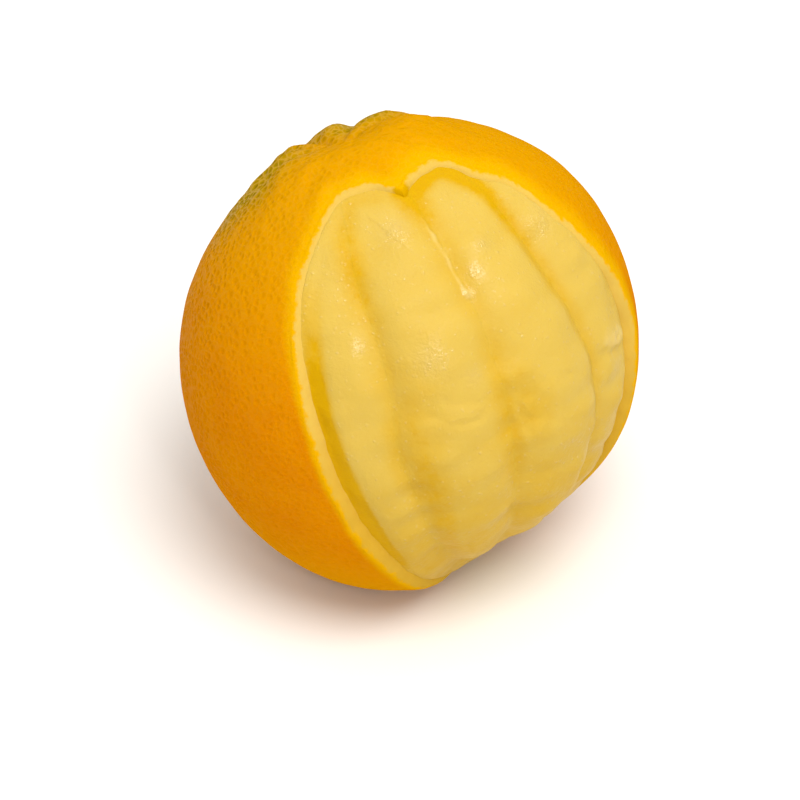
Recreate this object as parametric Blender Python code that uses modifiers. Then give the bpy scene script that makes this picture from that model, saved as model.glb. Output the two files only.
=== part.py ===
# A mandarin orange with a piece of its peel cut out, so that its segments show.
# The fruit lies on a small flat spot of its peel, with its own axis leaning to the left and back.
# Lengths are metres, +Z is up and the fruit is looked at along +Y.
# Places on the fruit are given in its own degrees: longitude round its axis, zero on the side that is
# looked at and positive to the right, and latitude from the blossom end, -90, to the stem end, +90.

from math import asin, atan2, cos, cosh, degrees, exp, pi, radians, sin, sqrt

import bmesh
import bpy
from mathutils import Matrix, Vector

MM = 0.001

# How the fruit lies
STEM_AXIS = Vector((-0.300, 0.334, 0.894)).normalized()
LOOKED_AT_FROM = Vector((0.0, -0.788, 0.616))
FRUIT_CENTRE = Vector((-0.3, 1.5, 32.75)) * MM

# The body: a ball with a few broad swells, each longitude, latitude, height in mm and reach in degrees
BODY_RADIUS = 33.3 * MM
BODY_SWELLS = (
    (95, 31, 1.1, 20),
    (-60, -52, 1.9, 25),
    (-108, 54, -1.1, 18),
    (-91, 18, -0.4, 20),
)

# The crown of the stem end: a raised ring round a dimple, parted by furrows
CROWN_HEIGHT = 1.15 * MM
CROWN_ANGLE = 16.0
CROWN_REACH = 8.0
DIMPLE_DEPTH = 1.6 * MM
DIMPLE_REACH = 7.0
FURROW_DEPTH = 1.3 * MM
FURROW_LONGITUDES = (160, -148, -116, -84, 112)
FURROW_HALF_WIDTH = 8.0

# The peel and the window cut in it
PEEL_THICKNESS = 2.1 * MM
RIM_ROUNDING = 0.6 * MM
WINDOW_MIDDLE = (23, -14)
WINDOW_EDGE = (
    (-27.5, 0),
    (-26.5, 18),
    (-22.5, 43),
    (-16, 54),
    (-7, 59.5),
    (6, 60),
    (17, 56.5),
    (28, 58),
    (38, 58.5),
    (48, 56),
    (53, 47),
    (57, 31),
    (64, 15),
    (70, 0),
    (73, -20),
    (77, -40),
    (86, -57),
    (98, -71),
    (130, -82),
    (-150, -87),
    (-60, -84),
    (-36, -72),
    (-30, -55),
    (-28.5, -25),
)
PEEL_MERIDIANS = 60
PEEL_RINGS = 24
RIM_RING = 8

# The segments
VISIBLE_VALLEYS = (-7.6, 19.4, 46.7, 78.0)
SEGMENT_COUNT = 12
FLESH_DEPTH = 2.42 * MM
SEGMENT_GAP = 0.3 * MM
CORE_RADIUS = 2.5 * MM
CORE_TIP_RADIUS = 0.7 * MM
TIP_LATITUDE = 86.0
STEM_END_DROP = 2.6 * MM
STEM_END_START = 56.0
BLOSSOM_END_DROP = 1.0 * MM
BLOSSOM_END_START = 74.0
VALLEY_DEPTH = 1.9 * MM
VALLEY_SHARPNESS = 2.0
WALL_SHARE = 3 / 8
SEGMENT_SIDES = 16
SEGMENT_RINGS = 14

# The rest spot
CUTTER_SIZE = 60 * MM

PEEL_ORANGE = (0.86, 0.33, 0.01, 1.0)
SEGMENT_YELLOW = (0.83, 0.58, 0.11, 1.0)


def clear_scene():
    for thing in list(bpy.data.objects):
        bpy.data.objects.remove(thing, do_unlink=True)


def new_collection(name):
    collection = bpy.data.collections.new(name)
    bpy.context.scene.collection.children.link(collection)
    return collection


def principled(name, colour, roughness):
    material = bpy.data.materials.new(name)
    material.use_nodes = True
    shader = material.node_tree.nodes["Principled BSDF"]
    shader.inputs["Base Color"].default_value = colour
    shader.inputs["Roughness"].default_value = roughness
    shader.inputs["Metallic"].default_value = 0.0
    return material


def direction(longitude, latitude):
    """The unit vector of a place on the fruit, in the fruit's own axes."""
    across = cos(radians(latitude))
    return Vector((across * cos(radians(longitude)), across * sin(radians(longitude)), sin(radians(latitude))))


def smooth_step(start, end, value):
    share = min(max((value - start) / (end - start), 0.0), 1.0)
    return share * share * (3 - 2 * share)


def degrees_apart(a, b):
    return degrees(a.angle(b))


def fruit_matrix():
    """Turns the fruit's own axes into the world's and lifts its centre to its height."""
    sideways = STEM_AXIS.cross(LOOKED_AT_FROM).normalized()
    front = sideways.cross(STEM_AXIS)
    turned = Matrix((front, sideways, STEM_AXIS)).transposed().to_4x4()
    return Matrix.Translation(FRUIT_CENTRE) @ turned


def body_radius(place):
    """Distance from the fruit's centre to its skin, without the crown."""
    radius = BODY_RADIUS
    for longitude, latitude, height, reach in BODY_SWELLS:
        apart = degrees_apart(place, direction(longitude, latitude))
        radius += height * MM * exp(-0.5 * (apart / reach) ** 2)
    return radius


def furrow(longitude):
    """How deep in a furrow a longitude is, from 0 to 1."""
    deepest = 0.0
    for middle in FURROW_LONGITUDES:
        off = (longitude - middle + 180) % 360 - 180
        deepest = max(deepest, exp(-0.5 * (off / FURROW_HALF_WIDTH) ** 2))
    return deepest


def crown_relief(place):
    """Height of the stem end's crown, dimple and furrows over the body."""
    from_stem = 90 - degrees(asin(max(-1.0, min(1.0, place.z))))
    longitude = degrees(atan2(place.y, place.x))
    ring = exp(-0.5 * ((from_stem - CROWN_ANGLE) / CROWN_REACH) ** 2)
    dimple = exp(-0.5 * (from_stem / DIMPLE_REACH) ** 2)
    return ring * (CROWN_HEIGHT - FURROW_DEPTH * furrow(longitude)) - DIMPLE_DEPTH * dimple


def window_axes():
    """Axes of the window: across it, up it towards the stem end, and out through its middle."""
    out = direction(*WINDOW_MIDDLE)
    across = Vector((0, 0, 1)).cross(out).normalized()
    return across, out.cross(across), out


def window_corners():
    """The window's edge as turn round its middle and angle from it, in order of turn."""
    across, up, out = window_axes()
    corners = []
    for longitude, latitude in WINDOW_EDGE:
        place = direction(longitude, latitude)
        corners.append((atan2(place.dot(up), place.dot(across)) % (2 * pi), place.angle(out)))
    return sorted(corners)


def edge_angle(turn, corners):
    """Angle from the window's middle to its edge, on a smooth curve through the corners."""
    count = len(corners)
    after = next((i for i, corner in enumerate(corners) if corner[0] > turn), 0)
    turns = []
    angles = []
    for step in (-2, -1, 0, 1):
        index = after + step
        wraps = 2 * pi * (index // count)
        turns.append(corners[index % count][0] + wraps)
        angles.append(corners[index % count][1])
    if turn < turns[1]:
        turn += 2 * pi
    if turn > turns[2]:
        turn -= 2 * pi
    width = turns[2] - turns[1]
    share = (turn - turns[1]) / width
    slope_in = (angles[2] - angles[0]) / (turns[2] - turns[0]) * width
    slope_out = (angles[3] - angles[1]) / (turns[3] - turns[1]) * width
    square = share * share
    cube = square * share
    return (
        (2 * cube - 3 * square + 1) * angles[1]
        + (cube - 2 * square + share) * slope_in
        + (3 * square - 2 * cube) * angles[2]
        + (cube - square) * slope_out
    )


def sphere_object(name, sides, rings, collection, material):
    """A unit ball as an object of its own, to be shaped."""
    mesh = bpy.data.meshes.new(name)
    ball = bmesh.new()
    bmesh.ops.create_uvsphere(ball, u_segments=sides, v_segments=rings, radius=1.0)
    ball.to_mesh(mesh)
    ball.free()
    mesh.materials.append(material)
    piece = bpy.data.objects.new(name, mesh)
    collection.objects.link(piece)
    return piece


def reshape(piece, place_of):
    """Moves every vertex of a piece to where place_of says, given where it is."""
    for vertex in piece.data.vertices:
        vertex.co = place_of(vertex.co)
    piece.data.update()


def open_at_the_rim(piece):
    """Takes the cap off the ball, down to the ring that becomes the window's edge."""
    rim_height = cos(pi * (RIM_RING - 0.5) / PEEL_RINGS)
    ball = bmesh.new()
    ball.from_mesh(piece.data)
    cap = [vertex for vertex in ball.verts if vertex.co.z > rim_height]
    bmesh.ops.delete(ball, geom=cap, context="VERTS")
    ball.to_mesh(piece.data)
    ball.free()


def make_peel(collection, cutters, material):
    """The peel: a shell with its window, its crown and its rest spot."""
    peel = sphere_object("peel", PEEL_MERIDIANS, PEEL_RINGS, collection, material)
    open_at_the_rim(peel)
    to_world = fruit_matrix()
    across, up, out = window_axes()
    corners = window_corners()
    rim_angle = pi * RIM_RING / PEEL_RINGS

    def on_skin(spot):
        turn = atan2(spot.y, spot.x) % (2 * pi)
        along = (Vector(spot).angle(Vector((0, 0, 1))) - rim_angle) / (pi - rim_angle)
        edge = edge_angle(turn, corners)
        angle = edge + (pi - edge) * along
        place = (across * cos(turn) + up * sin(turn)) * sin(angle) + out * cos(angle)
        return to_world @ (place * (body_radius(place) + crown_relief(place)))

    reshape(peel, on_skin)

    shell = peel.modifiers.new("peel thickness", "SOLIDIFY")
    shell.thickness = PEEL_THICKNESS
    shell.offset = -1.0
    rounding = peel.modifiers.new("rounded rim", "BEVEL")
    rounding.width = RIM_ROUNDING
    rounding.segments = 2
    rounding.limit_method = "ANGLE"
    rounding.angle_limit = radians(50)

    floor = bpy.data.meshes.new("floor_cutter")
    block = bmesh.new()
    bmesh.ops.create_cube(block, size=CUTTER_SIZE)
    block.to_mesh(floor)
    block.free()
    cutter = bpy.data.objects.new("floor_cutter", floor)
    cutter.location = (0, 0, -CUTTER_SIZE / 2)
    cutter.hide_render = True
    cutter.display_type = "WIRE"
    cutters.objects.link(cutter)

    rest = peel.modifiers.new("rest spot", "BOOLEAN")
    rest.operation = "DIFFERENCE"
    rest.solver = "EXACT"
    rest.object = cutter
    return peel


def segment_edges():
    """The longitudes of the valleys round the fruit, from the first in view to itself again."""
    hidden_count = SEGMENT_COUNT - len(VISIBLE_VALLEYS) + 1
    hidden_width = (VISIBLE_VALLEYS[0] + 360 - VISIBLE_VALLEYS[-1]) / hidden_count
    hidden = [VISIBLE_VALLEYS[-1] + hidden_width * step for step in range(1, hidden_count + 1)]
    return list(VISIBLE_VALLEYS) + hidden


def flesh_radius(longitude, latitude):
    """Distance from the fruit's centre to the back of a segment, between the valleys."""
    stem_drop = STEM_END_DROP * smooth_step(STEM_END_START, 90, latitude)
    blossom_drop = BLOSSOM_END_DROP * smooth_step(BLOSSOM_END_START, 90, -latitude)
    return body_radius(direction(longitude, latitude)) - FLESH_DEPTH - stem_drop - blossom_drop


def wedge_outline(turn):
    """A place on a wedge's outline, for a turn round it: sideways from -1 to 1, outwards from 0 to 1.

    Half of the turn runs over the back, and the rest down one wall, over the core and up the other wall.
    """
    half_turns = turn / pi
    if half_turns <= 1:
        return 2 * half_turns - 1, 1.0
    round_the_core = half_turns - 1
    if round_the_core < WALL_SHARE:
        return 1.0, 1 - round_the_core / WALL_SHARE
    if round_the_core > 1 - WALL_SHARE:
        return -1.0, 1 - (1 - round_the_core) / WALL_SHARE
    return (1 - 2 * round_the_core) / (1 - 2 * WALL_SHARE), 0.0


def make_segment(number, left, right, collection, material):
    """One wedge of flesh between two valleys, from the core out to just under the peel."""
    segment = sphere_object(f"segment_{number:02d}", SEGMENT_SIDES, SEGMENT_RINGS, collection, material)
    to_world = fruit_matrix()
    middle = (left + right) / 2
    half_width = radians(right - left) / 2

    def in_wedge(spot):
        level = asin(max(-1.0, min(1.0, spot.z))) / (pi / 2)
        latitude = TIP_LATITUDE * level
        at_a_tip = abs(level) > 0.999
        turn = atan2(spot.y, spot.x) % (2 * pi)
        sideways, outwards = (0.0, 0.5) if at_a_tip else wedge_outline(turn)

        longitude = middle + degrees(half_width) * sideways
        lobe = VALLEY_DEPTH * (cosh(VALLEY_SHARPNESS * sideways) - 1) / (cosh(VALLEY_SHARPNESS) - 1)
        back = flesh_radius(longitude, latitude) - lobe
        outer = Vector((back * cos(radians(latitude)), back * sin(radians(latitude))))
        core = CORE_TIP_RADIUS + (CORE_RADIUS - CORE_TIP_RADIUS) * sqrt(1 - level * level)
        inner = Vector((core, outer.y * 0.93))
        section = inner.lerp(outer, outwards)

        room = half_width - asin(min(1.0, SEGMENT_GAP / 2 / section.x))
        angle = radians(middle) + sideways * max(room, 0.0)
        return to_world @ Vector((section.x * cos(angle), section.x * sin(angle), section.y))

    reshape(segment, in_wedge)
    return segment


def build():
    clear_scene()
    fruit = new_collection("mandarin_orange")
    cutters = new_collection("cutters")
    peel_material = principled("orange_peel", PEEL_ORANGE, 0.38)
    segment_material = principled("segment_skin", SEGMENT_YELLOW, 0.32)
    make_peel(fruit, cutters, peel_material)
    edges = segment_edges()
    for number in range(SEGMENT_COUNT):
        make_segment(number + 1, edges[number], edges[number + 1], fruit, segment_material)


build()
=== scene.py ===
# %% [markdown]
# # A mandarin orange with a window cut in its peel
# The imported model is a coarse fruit: one peel and twelve segments. This lesson makes a fine peel and
# fine segments in the same places, gives each its real surface, and lights them on a pale floor.
# The fruit's own shape is repeated here as a few values and formulas, because nothing else is read.

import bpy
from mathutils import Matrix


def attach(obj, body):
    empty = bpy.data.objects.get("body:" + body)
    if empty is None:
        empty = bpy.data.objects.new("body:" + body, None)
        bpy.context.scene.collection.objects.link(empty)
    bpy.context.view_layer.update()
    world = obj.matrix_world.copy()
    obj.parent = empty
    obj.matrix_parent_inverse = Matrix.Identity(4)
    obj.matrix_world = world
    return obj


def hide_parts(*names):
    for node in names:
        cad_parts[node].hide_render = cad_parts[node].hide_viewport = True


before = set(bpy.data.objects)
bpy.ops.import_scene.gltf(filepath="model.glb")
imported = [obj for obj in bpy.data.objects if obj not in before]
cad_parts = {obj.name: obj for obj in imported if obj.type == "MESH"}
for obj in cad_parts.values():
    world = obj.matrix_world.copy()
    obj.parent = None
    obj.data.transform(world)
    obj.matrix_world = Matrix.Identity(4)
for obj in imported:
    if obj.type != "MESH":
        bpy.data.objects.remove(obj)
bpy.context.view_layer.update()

# %% [markdown]
# ## Where the fruit is and how it lies
# A fruit is easiest to describe in its own degrees. Longitude goes round the axis from blossom end to
# stem end and is zero on the side that is looked at. Latitude goes from -90 at the blossom to +90 at
# the stem. The axis leans to the left and back, so one table turns places on the fruit into the world.

# %% The fruit's own axes
from functools import partial
from math import cos, pi, radians, sin

import bpy
import numpy as np
from mathutils import Vector

MM = 0.001
FRUIT_CENTRE = np.array((-0.3, 1.5, 32.75)) * MM
LOOKED_AT_FROM = np.array((0.0, -0.788, 0.616))


def unit(vectors):
    return vectors / np.linalg.norm(vectors, axis=-1, keepdims=True)


STEM_AXIS = unit(np.array((-0.300, 0.334, 0.894)))
SIDE_AXIS = unit(np.cross(STEM_AXIS, LOOKED_AT_FROM))
FRONT_AXIS = np.cross(SIDE_AXIS, STEM_AXIS)
FRUIT_AXES = np.stack((FRONT_AXIS, SIDE_AXIS, STEM_AXIS))


def to_world(points):
    """Points in the fruit's own axes, turned and lifted to where the fruit lies."""
    return points @ FRUIT_AXES + FRUIT_CENTRE


def to_fruit(points):
    return (points - FRUIT_CENTRE) @ FRUIT_AXES.T


def place(longitude, latitude):
    """Unit vectors of places on the fruit, in its own axes."""
    longitude, latitude = np.radians(longitude), np.radians(latitude)
    across = np.cos(latitude)
    return np.stack((across * np.cos(longitude), across * np.sin(longitude), np.sin(latitude)), axis=-1)


def degrees_of(places):
    longitude = np.degrees(np.arctan2(places[..., 1], places[..., 0]))
    return longitude, np.degrees(np.arcsin(np.clip(places[..., 2], -1, 1)))


print("the stem end leans", round(float(np.degrees(np.arccos(STEM_AXIS[2]))), 1), "degrees from upright")

# %% [markdown]
# ## The shape of the body
# A mandarin is a ball with a few broad swells. Its stem end carries a low crown: a raised ring round a
# dimple, parted by furrows into knobs. All of it is one radius for each direction, so that peel and
# flesh follow each other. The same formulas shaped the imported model.

# %% The body's radius
BODY_RADIUS = 33.3 * MM
# Each swell: its longitude and latitude, its height in mm and its reach in degrees
BODY_SWELLS = ((95, 31, 1.1, 20), (-60, -52, 1.9, 25), (-108, 54, -1.1, 18), (-91, 18, -0.4, 20))
CROWN_HEIGHT = 1.15 * MM
CROWN_ANGLE = 16.0
CROWN_REACH = 8.0
DIMPLE_DEPTH = 1.6 * MM
DIMPLE_REACH = 7.0
FURROW_DEPTH = 1.3 * MM
FURROW_LONGITUDES = (160, -148, -116, -84, 112)
FURROW_HALF_WIDTH = 8.0


def bell(distance, reach):
    return np.exp(-0.5 * (distance / reach) ** 2)


def degrees_apart(places, middle):
    return np.degrees(np.arccos(np.clip(places @ middle, -1, 1)))


def body_radius(places):
    """Distance from the fruit's centre to its skin, without the crown."""
    radius = np.full(places.shape[:-1], BODY_RADIUS)
    for longitude, latitude, height, reach in BODY_SWELLS:
        radius += height * MM * bell(degrees_apart(places, place(longitude, latitude)), reach)
    return radius


def furrow(longitude):
    """How deep in a furrow a longitude is, from 0 to 1."""
    deepest = np.zeros(np.shape(longitude))
    for middle in FURROW_LONGITUDES:
        off = (longitude - middle + 180) % 360 - 180
        deepest = np.maximum(deepest, bell(off, FURROW_HALF_WIDTH))
    return deepest


def crown_relief(places):
    """Height of the stem end's crown, dimple and furrows over the body."""
    longitude, latitude = degrees_of(places)
    from_stem = 90 - latitude
    ring = bell(from_stem - CROWN_ANGLE, CROWN_REACH)
    dimple = bell(from_stem, DIMPLE_REACH)
    return ring * (CROWN_HEIGHT - FURROW_DEPTH * furrow(longitude)) - DIMPLE_DEPTH * dimple


print("body", 2 * BODY_RADIUS / MM, "mm across, crown", CROWN_HEIGHT / MM, "mm high")

# %% [markdown]
# ## Lines on the fruit
# The rim of the window, the valleys between segments, and small threads and creases are all lines on a
# ball. Each is a short list of places, joined by a smooth curve. The distance of a point from such a
# line then shapes a groove or a ridge, and later tells the finish where a colour starts.

# %% Smooth lines, and distances from them
LINE_STEPS = 6


def smooth_line(corners):
    """Unit vectors along a smooth curve through places given as longitude and latitude."""
    corners = np.array(corners, float)
    knots = place(corners[:, 0], corners[:, 1])
    knots = np.concatenate((2 * knots[:1] - knots[1:2], knots, 2 * knots[-1:] - knots[-2:-1]))
    points = []
    for before, start, end, after in zip(knots, knots[1:], knots[2:], knots[3:]):
        for step in range(LINE_STEPS):
            t = step / LINE_STEPS
            points.append(
                0.5 * (
                    2 * start + (end - before) * t + (2 * before - 5 * start + 4 * end - after) * t**2
                    + (3 * start - before - 3 * end + after) * t**3
                )
            )
    points.append(knots[-2])
    return unit(np.array(points))


def distance_from(places, line):
    """Distance in mm, near the skin, from each place to a line, and how far along the line that is."""
    steps = np.diff(line, axis=0)
    lengths = np.linalg.norm(steps, axis=1)
    begins = np.concatenate(((0,), np.cumsum(lengths)))
    closest_point = np.argmax(places @ line.T, axis=1)
    nearest = np.full(len(places), np.inf)
    share_there = np.zeros(len(places))
    for side in (-1, 0):
        piece = np.clip(closest_point + side, 0, len(steps) - 1)
        offset = places - line[piece]
        t = np.clip(np.sum(offset * steps[piece], axis=1) / lengths[piece] ** 2, 0, 1)
        apart = np.linalg.norm(offset - t[:, None] * steps[piece], axis=1)
        nearer = apart < nearest
        nearest = np.where(nearer, apart, nearest)
        share_there = np.where(nearer, (begins[piece] + t * lengths[piece]) / begins[-1], share_there)
    return nearest * BODY_RADIUS / MM, share_there


# %% [markdown]
# ## The window's rim
# The window is a long lune, widest in the middle, with a dip in its upper edge where two segments
# meet. Seen from the window's middle, its rim is one angle for each turn round the middle, so the rim
# is a smooth curve through a table of corners. A little wobble keeps the cut from looking machined.

# %% The rim as an angle for each turn
WINDOW_MIDDLE = (23, -14)
WINDOW_RIM = (
    (-28.4, 0), (-28.6, -14), (-28.8, -30), (-28.6, -44), (-30, -56), (-36, -72), (-60, -84), (-150, -87),
    (130, -82), (98, -71), (86, -57), (77, -40), (73, -20), (72.3, -7), (70.2, 0), (68.5, 6), (66, 11.5),
    (63.6, 17), (61.5, 23), (59, 29), (57.6, 35), (56.8, 39.5), (54.4, 44), (50.6, 47.4), (48, 51),
    (46, 54.6), (42.5, 57), (37, 57.9), (30.5, 57.5), (25, 56.8), (21.3, 55.6), (18.5, 54.2), (15.4, 56.4),
    (8.6, 59.2), (-1, 59.7), (-9.6, 58.1), (-15, 53.7), (-20, 47.2), (-24, 40), (-26.5, 31), (-27.7, 22),
    (-28.2, 12),
)
RIM_WOBBLE = 0.2
RIM_WOBBLE_PITCH = 2.0
NOISE_PRIMES = np.array((374761393, 668265263, 974634777))
NOISE_MIX = 1274126177
NOISE_MASK = 0x7FFFFFFF

WINDOW_OUT = place(*WINDOW_MIDDLE)
WINDOW_ACROSS = unit(np.cross((0, 0, 1), WINDOW_OUT))
WINDOW_UP = np.cross(WINDOW_OUT, WINDOW_ACROSS)


def turn_and_angle(places):
    """Where places are as seen from the window's middle: turn round it and angle from it, in radians."""
    turn = np.arctan2(places @ WINDOW_UP, places @ WINDOW_ACROSS) % (2 * pi)
    return turn, np.arccos(np.clip(places @ WINDOW_OUT, -1, 1))


def from_window(turn, angle):
    """The unit vector, in the fruit's own axes, at a turn and angle from the window's middle."""
    round_it = np.cos(turn)[..., None] * WINDOW_ACROSS + np.sin(turn)[..., None] * WINDOW_UP
    return round_it * np.sin(angle)[..., None] + WINDOW_OUT * np.cos(angle)[..., None]


def soft_noise(points, pitch):
    """Smooth noise between -1 and 1 at points in mm, the same on every run: a fixed value for each
    corner of a grid of this pitch, blended between the corners."""
    cell = np.floor(points / pitch).astype(np.int64)
    within = points / pitch - cell
    blend = within * within * (3 - 2 * within)
    total = np.zeros(len(points))
    for corner in ((x, y, z) for x in (0, 1) for y in (0, 1) for z in (0, 1)):
        key = (cell + corner) @ NOISE_PRIMES
        key = (key ^ (key >> 13)) * NOISE_MIX & NOISE_MASK
        key = (key ^ (key >> 15)) * NOISE_MIX & NOISE_MASK
        share = np.prod(np.where(corner, blend, 1 - blend), axis=1)
        total += share * (key / NOISE_MASK * 2 - 1)
    return total


def skin_noise(places, pitch):
    """Smooth noise over the fruit, with a pitch in mm."""
    return soft_noise(places * BODY_RADIUS / MM, pitch)


def rim_curve():
    corners = np.array(WINDOW_RIM, float)
    turns, angles = turn_and_angle(place(corners[:, 0], corners[:, 1]))
    order = np.argsort(turns)
    return turns[order], angles[order]


RIM_TURNS, RIM_ANGLES = rim_curve()


def rim_angle(turn):
    """Angle from the window's middle to its rim, on a smooth curve through the corners."""
    turn = np.asarray(turn, float) % (2 * pi)
    count = len(RIM_TURNS)
    after = np.searchsorted(RIM_TURNS, turn, side="right")
    picks = [after + step for step in (-2, -1, 0, 1)]
    turns = [RIM_TURNS[pick % count] + 2 * pi * (pick // count) for pick in picks]
    angles = [RIM_ANGLES[pick % count] for pick in picks]
    width = turns[2] - turns[1]
    t = (turn - turns[1]) / width
    slope_in = (angles[2] - angles[0]) / (turns[2] - turns[0]) * width
    slope_out = (angles[3] - angles[1]) / (turns[3] - turns[1]) * width
    return (
        (2 * t**3 - 3 * t**2 + 1) * angles[1] + (t**3 - 2 * t**2 + t) * slope_in
        + (3 * t**2 - 2 * t**3) * angles[2] + (t**3 - t**2) * slope_out
    )


def wobbly_rim_angle(turn):
    angle = rim_angle(turn)
    return angle + RIM_WOBBLE * MM / BODY_RADIUS * skin_noise(from_window(turn, angle), RIM_WOBBLE_PITCH)


print("the rim lies", np.degrees(RIM_ANGLES.min()).round(1), "to", np.degrees(RIM_ANGLES.max()).round(1),
      "degrees from the window's middle")

# %% [markdown]
# ## The flesh: one surface for all the segments
# The segments of a mandarin press against each other under the peel, so together their backs make one
# surface with a valley between each two. Here it is a depth under the skin, with grooves along the
# valleys. Freed from the peel, the flesh swells up into the window, most of all at its upper and lower
# ends, where it comes nearly level with the skin. At the upper edge the valleys curl over the tops of
# the two middle segments, and at the left the flesh draws back from the cut peel in a narrow moat.

# %% The flesh's depth under the skin
# Under the peel: its depth in mm, and how much deeper it drops to each end, from these latitudes on
FLESH_DEPTH = 2.35
STEM_END_DROP = 2.6
STEM_END_START = 66.0
BLOSSOM_END_DROP = 1.0
BLOSSOM_END_START = 74.0
SEGMENT_COUNT = 12
VISIBLE_VALLEYS = (-7.6, 19.4, 46.7, 78.0)

# In the window: the flesh's depth in the middle, and at the rim by the turn round from its right side
MIDDLE_LEVEL = 1.15
RIM_LEVELS = (
    (5, 1.3), (20, 1.0), (30, 0.45), (45, 0.3), (74, 0.25), (84, 0.3), (92, 0.45), (98, 0.3), (105, 0.2),
    (120, 0.2), (135, 0.4), (150, 0.9), (165, 1.25), (205, 1.3), (235, 1.0), (255, 0.5), (285, 0.45),
    (305, 0.6), (335, 1.2),
)
RIM_LEVEL_REACH = 8.0
RISE_START = -1.0
RISE_END = 0.3

# Lines on the flesh, as longitude and latitude from top to bottom
VALLEY_LEFT = (
    (18.2, 53.2), (14.5, 54.4), (9, 56), (2, 57.2), (-3.8, 56.4), (-6.9, 53.4), (-8, 48), (-8.6, 41),
    (-8.2, 32), (-7.3, 23), (-7.3, 12), (-7.9, 4), (-9.4, -3), (-10.7, -12), (-10.8, -20), (-10.9, -30),
    (-11.6, -40), (-12.2, -52), (-9, -84),
)
VALLEY_MIDDLE = (
    (19.2, 54.4), (20.8, 50), (21.4, 40), (21.3, 30), (21.3, 22), (21, 14), (20.8, 4), (20.3, -8),
    (20, -20), (19.7, -35), (19.4, -55), (19.4, -84),
)
VALLEY_RIGHT = (
    (20, 51.8), (24.5, 53.8), (30, 55.2), (36.5, 55.9), (42, 54.2), (45, 50.8), (46.4, 46), (46.8, 39),
    (46.9, 30), (47.5, 20), (48.3, 11), (50, 2), (51.4, -8), (52, -18), (54, -30), (55, -42), (52, -60),
    (47, -84),
)
VALLEY_RIM = ((66.5, 15), (70.5, 8), (75, 0), (77.5, -10), (78, -30), (78, -84))
# Each groove: its line, depth in mm, width in mm, softness of its bottom in mm, and its strength along it
GROOVES = (
    (VALLEY_LEFT, 1.5, 3.2, 1.0, (0.0, 0.1, 0.6, 1.0, 1.05, 1.15, 1.3, 1.4, 1.4, 1.1, 0.15)),
    (VALLEY_MIDDLE, 1.8, 3.4, 0.8, (0.2, 0.75, 1.0, 1.0, 1.0, 1.1, 1.15, 1.2, 1.2, 1.0, 0.15)),
    (VALLEY_RIGHT, 1.8, 3.0, 0.4, (0.1, 0.25, 0.7, 1.0, 1.0, 1.0, 1.0, 1.0, 0.9, 0.5, 0.1)),
    (VALLEY_RIM, 1.5, 2.8, 0.6, (0.3, 0.9, 1.0, 0.9, 0.5, 0.1)),
)
# A valley under the peel: its depth, width and softness in mm, then its latitudes and strengths
HIDDEN_VALLEY = (1.9, 3.2, 0.5)
HIDDEN_LATITUDES = (84, 40, 0, -40, -84)
HIDDEN_STRENGTHS = (0.2, 0.7, 1.0, 1.0, 1.0, 0.7, 0.2)
# The moat beside the cut is nothing at the first distance from its line, in mm, and full at the second
MOAT = (
    (-20.5, 42), (-22, 37), (-23.5, 29), (-24.2, 22), (-25, 14), (-25.6, 6), (-25.8, -2), (-25.8, -16),
    (-26.1, -26), (-26.9, -36), (-27.6, -46), (-28.5, -54),
)
MOAT_DEPTH = 0.4
MOAT_EDGE = (3.2, 0.3)
MOAT_STRENGTHS = (0.0, 0.3, 0.7, 1.0, 1.0, 1.0, 1.0, 1.0, 1.0, 0.8, 0.1)


def segment_edges():
    """The longitudes of the valleys round the fruit, from the first in view to itself again."""
    hidden_count = SEGMENT_COUNT - len(VISIBLE_VALLEYS) + 1
    hidden_width = (VISIBLE_VALLEYS[0] + 360 - VISIBLE_VALLEYS[-1]) / hidden_count
    hidden = [VISIBLE_VALLEYS[-1] + hidden_width * step for step in range(1, hidden_count + 1)]
    return list(VISIBLE_VALLEYS) + hidden


def smooth_step(start, end, value):
    share = np.clip((value - start) / (end - start), 0, 1)
    return share * share * (3 - 2 * share)


def groove(distance, depth, width, softness):
    """Depth of a groove at a distance from its line, with a round bottom."""
    return depth * np.exp((softness - np.sqrt(distance**2 + softness**2)) / width)


def strength_along(share, strengths):
    """The strength at a share of a line's length, from strengths given at even steps along it."""
    return np.interp(share, np.linspace(0, 1, len(strengths)), strengths)


GROOVE_LINES = [smooth_line(line) for line, *rest in GROOVES]
MOAT_LINE = smooth_line(MOAT)
HIDDEN_LINES = [
    smooth_line([(longitude, latitude) for latitude in HIDDEN_LATITUDES])
    for longitude in segment_edges()[len(VISIBLE_VALLEYS):-1]
]


def inside_window(places):
    """Distance in mm inwards from the window's rim, near the skin, and the turn there."""
    turn, angle = turn_and_angle(places)
    return (rim_angle(turn) - angle) * BODY_RADIUS / MM, turn


def window_level(places):
    """Depth of the swollen flesh in the window, and how far it has swollen, from 0 under the peel to 1."""
    inside, turn = inside_window(places)
    turns, levels = np.array(RIM_LEVELS).T
    at_rim = np.interp(np.degrees(turn), turns, levels, period=360)
    level = MIDDLE_LEVEL + (at_rim - MIDDLE_LEVEL) * smooth_step(RIM_LEVEL_REACH, 0, inside)
    return level, smooth_step(RISE_START, RISE_END, inside)


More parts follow.
